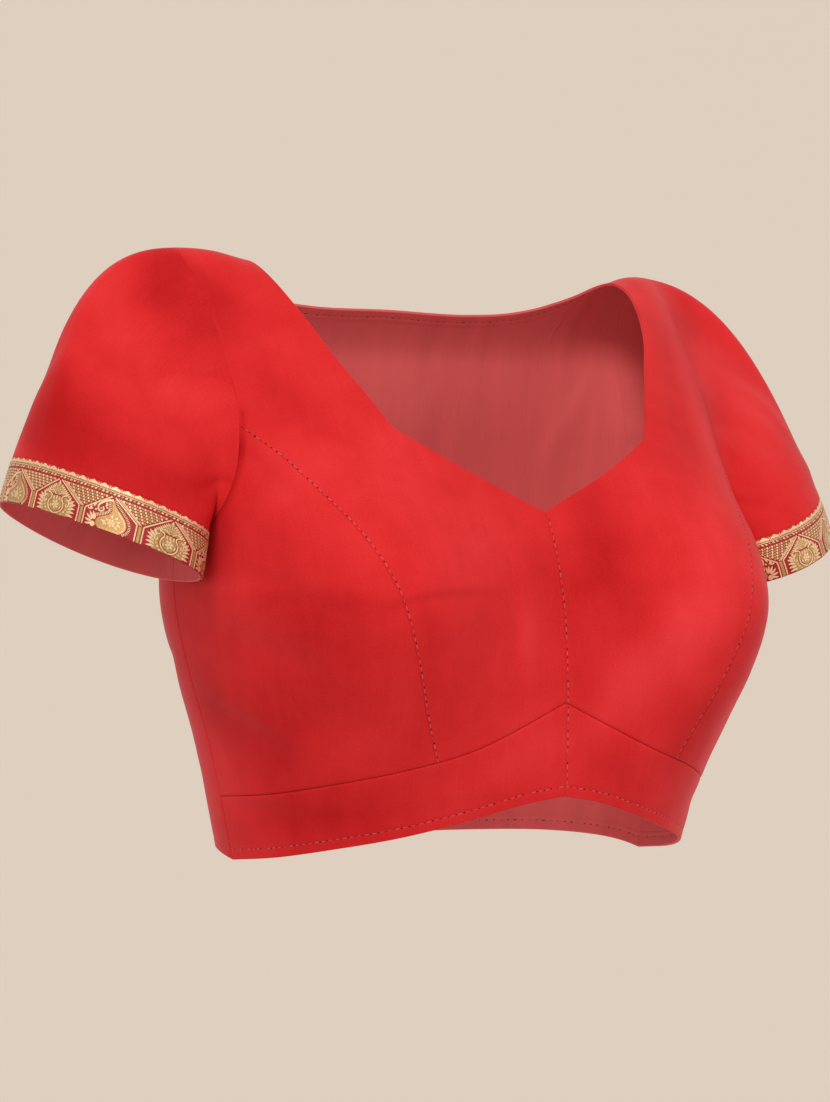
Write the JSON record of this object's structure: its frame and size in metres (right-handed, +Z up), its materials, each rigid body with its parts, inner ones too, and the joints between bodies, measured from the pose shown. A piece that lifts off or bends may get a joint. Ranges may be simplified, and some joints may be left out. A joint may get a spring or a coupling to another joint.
{
  "type": "saree blouse",
  "caption": "Fitted saree blouse with sweetheart neck, princess seams, peaked waistband and short sleeves with a woven border",
  "frame": {"origin": "in the middle between the wearer's shoulders, which carry the blouse, at the height of the neck points and 16 mm in front of the line through them", "axes": "+X to the wearer's left, -Y the front, +Z up"},
  "size_m": [0.527, 0.2463, 0.34],
  "materials": {
    "red_silk": "satin woven silk, soft sheen on the right side, duller wrong side",
    "zari_border": "woven gold thread on deep red ground"
  },
  "bodies": {
    "root": {"back": "red_silk", "front_centre_left": "red_silk", "front_centre_right": "red_silk", "front_side_left": "red_silk", "front_side_right": "red_silk", "waistband_left": "red_silk", "waistband_right": "red_silk", "sleeve_left": "red_silk", "sleeve_right": "red_silk", "sleeve_border_left": "zari_border", "sleeve_border_right": "zari_border"}
  },
  "joints": []
}
